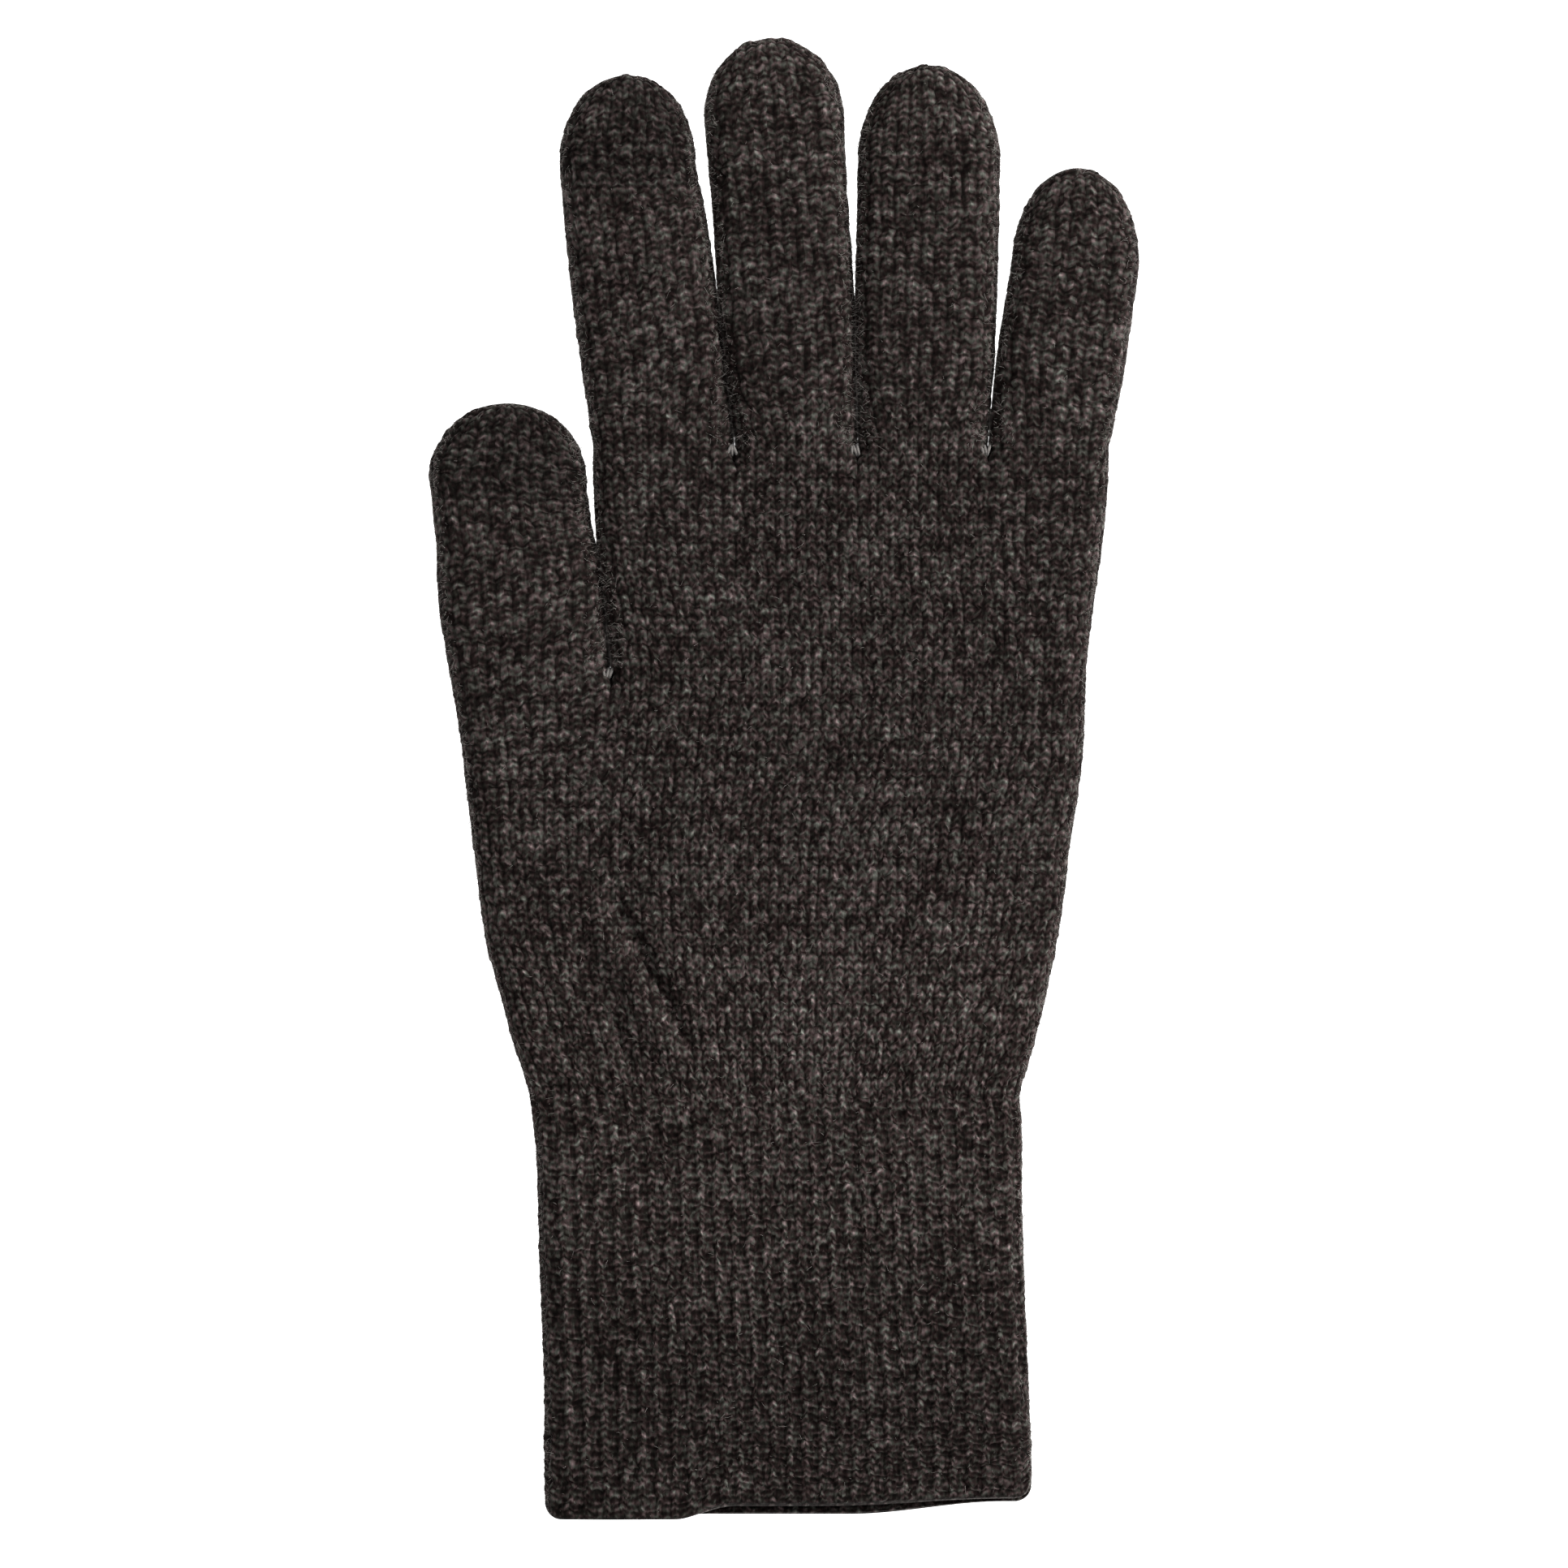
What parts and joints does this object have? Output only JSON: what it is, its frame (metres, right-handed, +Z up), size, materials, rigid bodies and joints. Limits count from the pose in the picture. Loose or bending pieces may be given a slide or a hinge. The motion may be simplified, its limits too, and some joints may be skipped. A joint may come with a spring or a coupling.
{
  "type": "knitted touchscreen glove",
  "caption": "Seamless knitted right-hand glove, lying palm down, with folding finger and thumb tubes, conductive index and thumb tips and a ribbed cuff.",
  "frame": {"origin": "on the surface the glove lies on, under the middle of its outline", "axes": "+Y from the cuff to the fingertips, +Z up through the back of the hand, +X from the thumb side to the little-finger side"},
  "size_m": [0.13, 0.27, 0.0096],
  "materials": {
    "wool_knit": "matte brown-grey heather jersey knit",
    "rib_knit": "matte brown-grey heather rib knit",
    "conductive_knit": "matte darker heather jersey knit with metal fibre in the yarn",
    "tack_yarn": "matte lighter wool yarn",
    "elastic_yarn": "matte covered elastic yarn"
  },
  "bodies": {
    "hand": {"hand_upper": "wool_knit", "hand_lower": "wool_knit", "fork_tacks": "tack_yarn"},
    "cuff": {"cuff": "rib_knit", "cuff_hem": "rib_knit", "cuff_elastic": "elastic_yarn"},
    "index_lower": {"index_lower_tube": "wool_knit"},
    "index_upper": {"index_upper_tube": "wool_knit"},
    "index_tip": {"index_touch_tip": "conductive_knit"},
    "middle_lower": {"middle_lower_tube": "wool_knit"},
    "middle_upper": {"middle_upper_tube": "wool_knit"},
    "middle_tip": {"middle_fingertip": "wool_knit"},
    "ring_lower": {"ring_lower_tube": "wool_knit"},
    "ring_upper": {"ring_upper_tube": "wool_knit"},
    "ring_tip": {"ring_fingertip": "wool_knit"},
    "little_lower": {"little_lower_tube": "wool_knit"},
    "little_upper": {"little_upper_tube": "wool_knit"},
    "little_tip": {"little_fingertip": "wool_knit"},
    "thumb_lower": {"thumb_lower_tube": "wool_knit"},
    "thumb_end": {"thumb_upper_tube": "wool_knit", "thumb_touch_tip": "conductive_knit"}
  },
  "joints": [
    {"name": "index_base_knuckle", "type": "hinge", "parent": "hand", "child": "index_lower", "pos_m": [-0.02292, 0.0688, 0], "axis": [-1, 0, 0], "range_deg": [-15, 90]},
    {"name": "index_middle_knuckle", "type": "hinge", "parent": "index_lower", "child": "index_upper", "pos_m": [-0.02535, 0.0878, 0], "axis": [-1, 0, 0], "range_deg": [0, 90]},
    {"name": "index_end_knuckle", "type": "hinge", "parent": "index_upper", "child": "index_tip", "pos_m": [-0.02791, 0.1078, 0], "axis": [-1, 0, 0], "range_deg": [0, 60]},
    {"name": "middle_base_knuckle", "type": "hinge", "parent": "hand", "child": "middle_lower", "pos_m": [0.00149, 0.0688, 0], "axis": [-1, 0, 0], "range_deg": [-15, 90]},
    {"name": "middle_middle_knuckle", "type": "hinge", "parent": "middle_lower", "child": "middle_upper", "pos_m": [0.00016, 0.0898, 0], "axis": [-1, 0, 0], "range_deg": [0, 90]},
    {"name": "middle_end_knuckle", "type": "hinge", "parent": "middle_upper", "child": "middle_tip", "pos_m": [-0.00123, 0.1118, 0], "axis": [-1, 0, 0], "range_deg": [0, 60]},
    {"name": "ring_base_knuckle", "type": "hinge", "parent": "hand", "child": "ring_lower", "pos_m": [0.0251, 0.0688, 0], "axis": [-1, 0, 0], "range_deg": [-15, 90]},
    {"name": "ring_middle_knuckle", "type": "hinge", "parent": "ring_lower", "child": "ring_upper", "pos_m": [0.0256, 0.0888, 0], "axis": [-1, 0, 0], "range_deg": [0, 90]},
    {"name": "ring_end_knuckle", "type": "hinge", "parent": "ring_upper", "child": "ring_tip", "pos_m": [0.02611, 0.1093, 0], "axis": [-1, 0, 0], "range_deg": [0, 60]},
    {"name": "little_base_knuckle", "type": "hinge", "parent": "hand", "child": "little_lower", "pos_m": [0.04883, 0.0688, 0], "axis": [-1, 0, 0], "range_deg": [-15, 90]},
    {"name": "little_middle_knuckle", "type": "hinge", "parent": "little_lower", "child": "little_upper", "pos_m": [0.05082, 0.0823, 0], "axis": [-1, 0, 0], "range_deg": [0, 90]},
    {"name": "little_end_knuckle", "type": "hinge", "parent": "little_upper", "child": "little_tip", "pos_m": [0.05288, 0.0963, 0], "axis": [-1, 0, 0], "range_deg": [0, 60]},
    {"name": "thumb_base_fold", "type": "hinge", "parent": "hand", "child": "thumb_lower", "pos_m": [-0.0423, 0.0171, 0], "axis": [0.7071, 0.7071, 0], "range_deg": [-60, 0]},
    {"name": "thumb_end_knuckle", "type": "hinge", "parent": "thumb_lower", "child": "thumb_end", "pos_m": [-0.04948, 0.04593, 0], "axis": [0.9936, 0.1128, 0], "range_deg": [-80, 0]},
    {"name": "wrist_fold", "type": "hinge", "parent": "hand", "child": "cuff", "pos_m": [-0.0013, -0.0575, 0.0048], "axis": [1, 0, 0], "range_deg": [-45, 45]}
  ]
}
